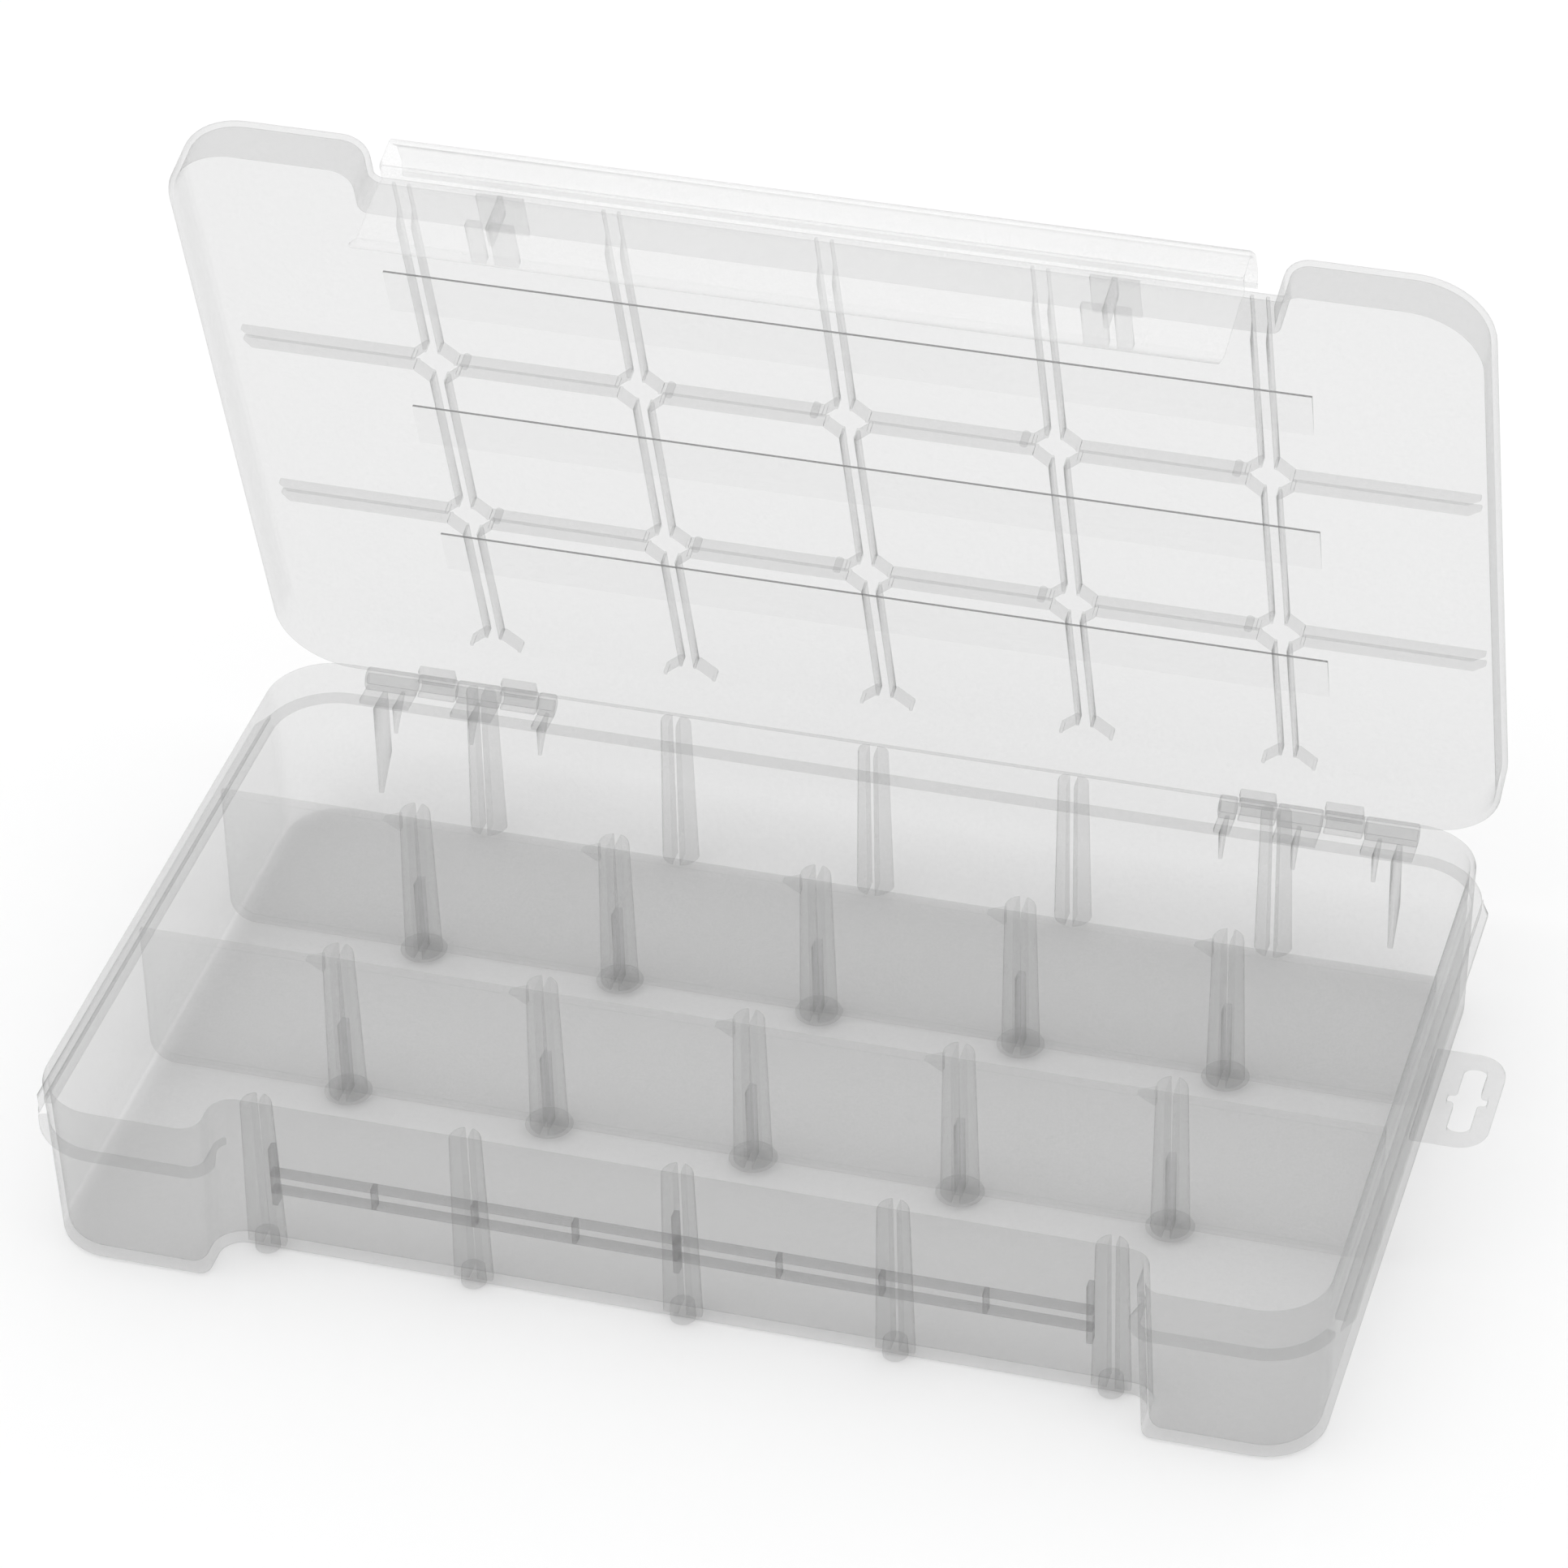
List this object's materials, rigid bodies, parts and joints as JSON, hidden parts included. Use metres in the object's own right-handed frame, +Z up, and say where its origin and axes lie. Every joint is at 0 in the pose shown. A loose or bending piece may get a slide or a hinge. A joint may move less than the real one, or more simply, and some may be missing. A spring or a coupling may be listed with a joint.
{
  "type": "fishing tackle box",
  "caption": "Clear plastic tackle box with fixed long rows, slotted divider posts, a hinged lid with a front latch flap and a side hang tab.",
  "frame": {"origin": "centre of the tub's flat underside, which the box stands on", "axes": "+X along the long side towards the hang tab, +Y towards the hinge at the back, +Z up"},
  "size_m": [0.3704, 0.2285, 0.2557],
  "materials": {
    "tub_plastic": "injection-moulded clear polypropylene, glossy, faintly hazy",
    "lid_plastic": "injection-moulded clear polypropylene, glossy, faintly hazy",
    "latch_plastic": "injection-moulded clear polypropylene, glossy"
  },
  "bodies": {
    "tub": {"tub_floor": "tub_plastic", "tub_recess_wall": "tub_plastic", "tower_walls": "tub_plastic", "tub_end_walls": "tub_plastic", "tub_back_wall": "tub_plastic", "tower_flanges": "tub_plastic", "end_ledges": "tub_plastic", "back_flange": "tub_plastic", "front_partition": "tub_plastic", "rear_partition": "tub_plastic", "front_partition_posts": "tub_plastic", "rear_partition_posts": "tub_plastic", "front_wall_posts": "tub_plastic", "back_wall_posts": "tub_plastic", "latch_rail": "tub_plastic", "hang_tab": "tub_plastic", "hinge_pins": "tub_plastic", "tub_hinge_blocks": "tub_plastic", "back_stand_ribs": "tub_plastic"},
    "lid": {"lid_panel": "lid_plastic", "lid_front_skirt": "lid_plastic", "lid_end_skirts": "lid_plastic", "lid_back_skirt": "lid_plastic", "lid_long_ribs": "lid_plastic", "lid_cross_ribs": "lid_plastic", "lid_post_rings": "lid_plastic", "lid_step_ridges": "lid_plastic", "lid_hinge_clips": "lid_plastic"},
    "latch": {"latch_flap": "latch_plastic", "latch_catches": "latch_plastic"}
  },
  "joints": [
    {"name": "lid_hinge", "type": "hinge", "parent": "tub", "child": "lid", "pos_m": [0, 0.1118, 0.0394], "axis": [-1, 0, 0], "range_deg": [-73.5, 106.5]},
    {"name": "latch_hinge", "type": "hinge", "parent": "lid", "child": "latch", "pos_m": [0, 0.06499, 0.23934], "axis": [-1, 0, 0], "range_deg": [-5, 90]}
  ]
}
